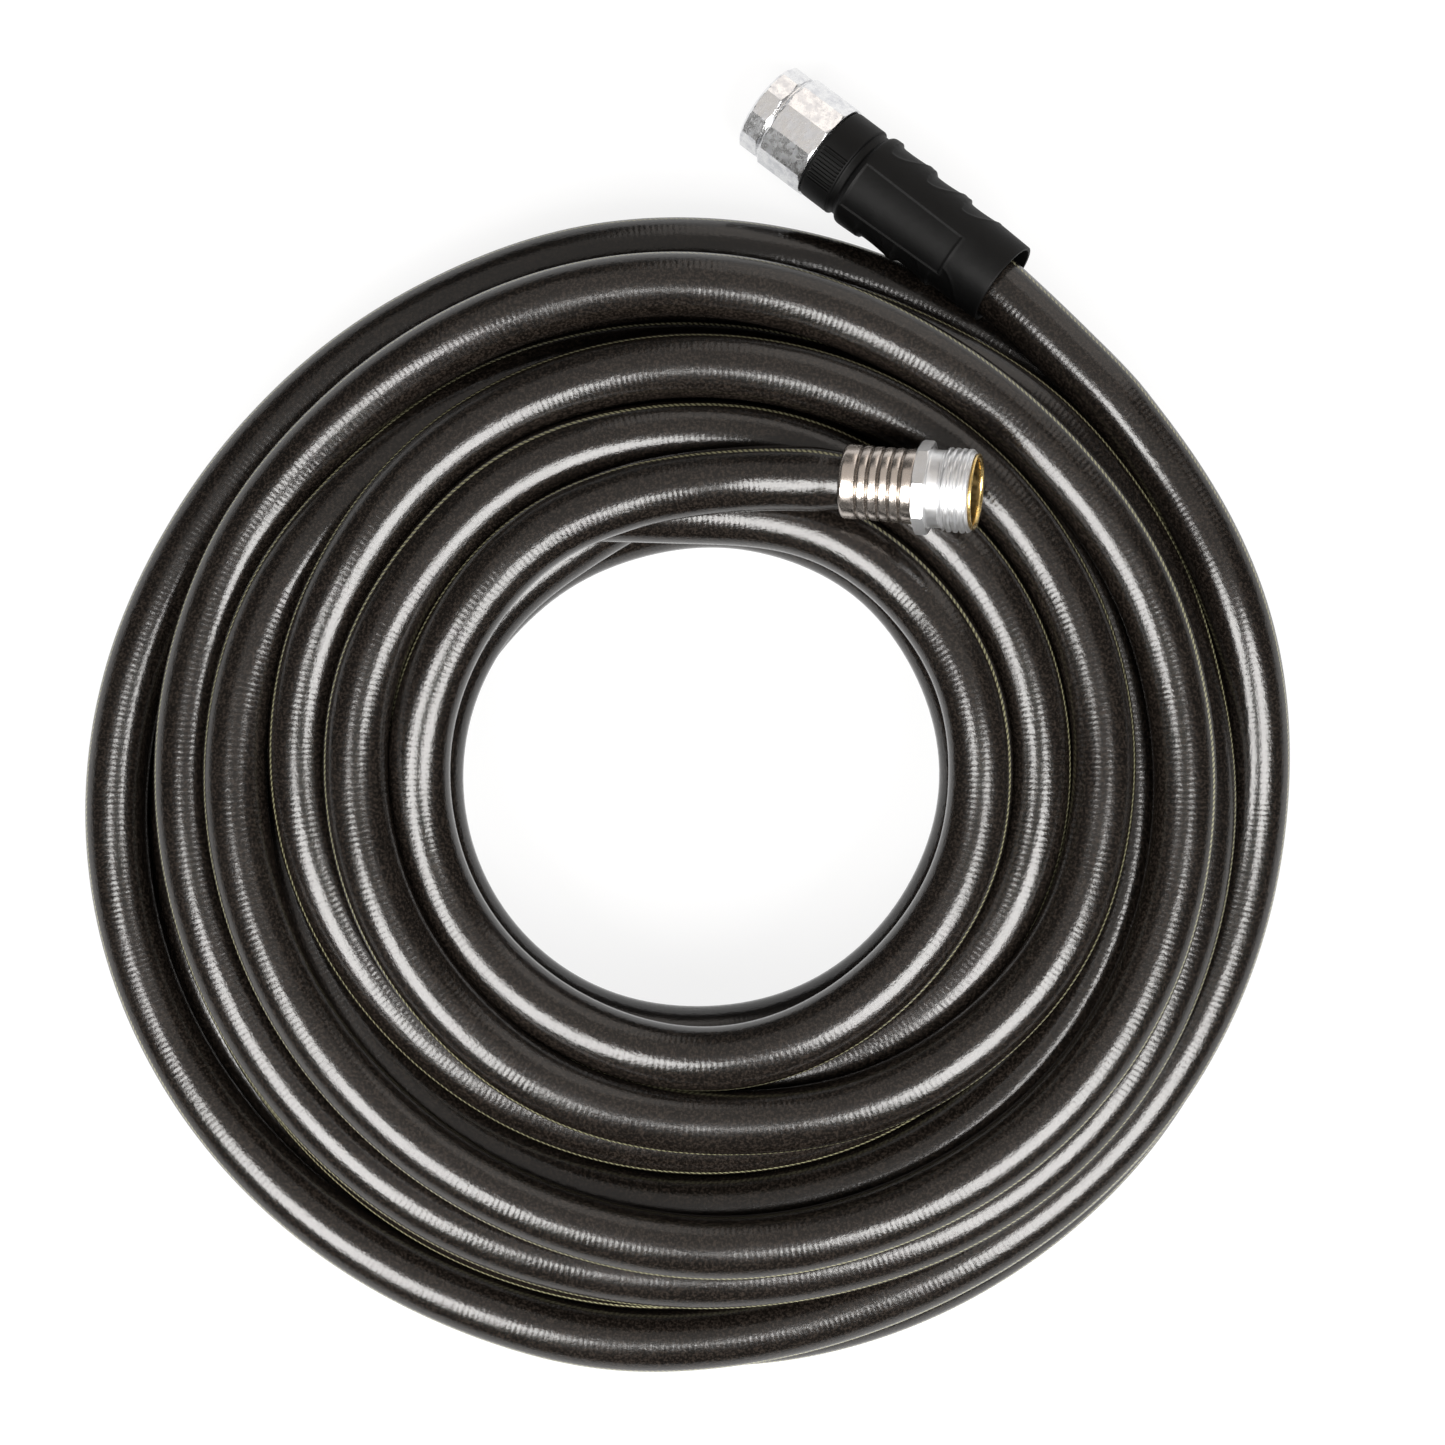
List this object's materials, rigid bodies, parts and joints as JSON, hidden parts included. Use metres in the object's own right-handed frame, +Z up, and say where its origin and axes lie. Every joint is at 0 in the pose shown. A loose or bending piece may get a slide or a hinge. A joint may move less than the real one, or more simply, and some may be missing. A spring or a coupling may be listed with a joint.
{
  "type": "coiled garden hose",
  "caption": "Flat coil of heavy black garden hose with a nickel swivel nut in a long grip sleeve at its outer end and a threaded end fitting on top.",
  "frame": {"origin": "middle of the box round the whole part, on the floor that the coil lies on", "axes": "+Z up, along the coil's axis; seen from above as in the picture, +X is to the right and +Y is away, towards the swivel end"},
  "size_m": [0.3918, 0.4376, 0.1109],
  "materials": {
    "hose_rubber": "satin charcoal, finely grained, with faint cross ridges",
    "grip_rubber": "matte moulded black",
    "nickel_plate": "dull nickel plate, slightly worn",
    "ferrule_metal": "satin plated, crimped",
    "brass": "bright brass",
    "washer_rubber": "matte"
  },
  "bodies": {
    "hose": {"hose_coil": "hose_rubber", "hose_lead_female": "hose_rubber", "hose_lead_male": "hose_rubber", "coupling_stem": "brass", "female_ferrule": "ferrule_metal", "male_ferrule": "ferrule_metal", "male_coupling": "nickel_plate", "male_liner": "brass"},
    "swivel": {"coupling_nut": "nickel_plate", "grip_sleeve": "grip_rubber", "coupling_washer": "washer_rubber"}
  },
  "joints": [
    {"name": "coupling_swivel", "type": "hinge", "parent": "hose", "child": "swivel", "pos_m": [0.02446, 0.20657, 0.0166], "axis": [-0.7672, 0.6124, -0.1908], "continuous": true}
  ]
}
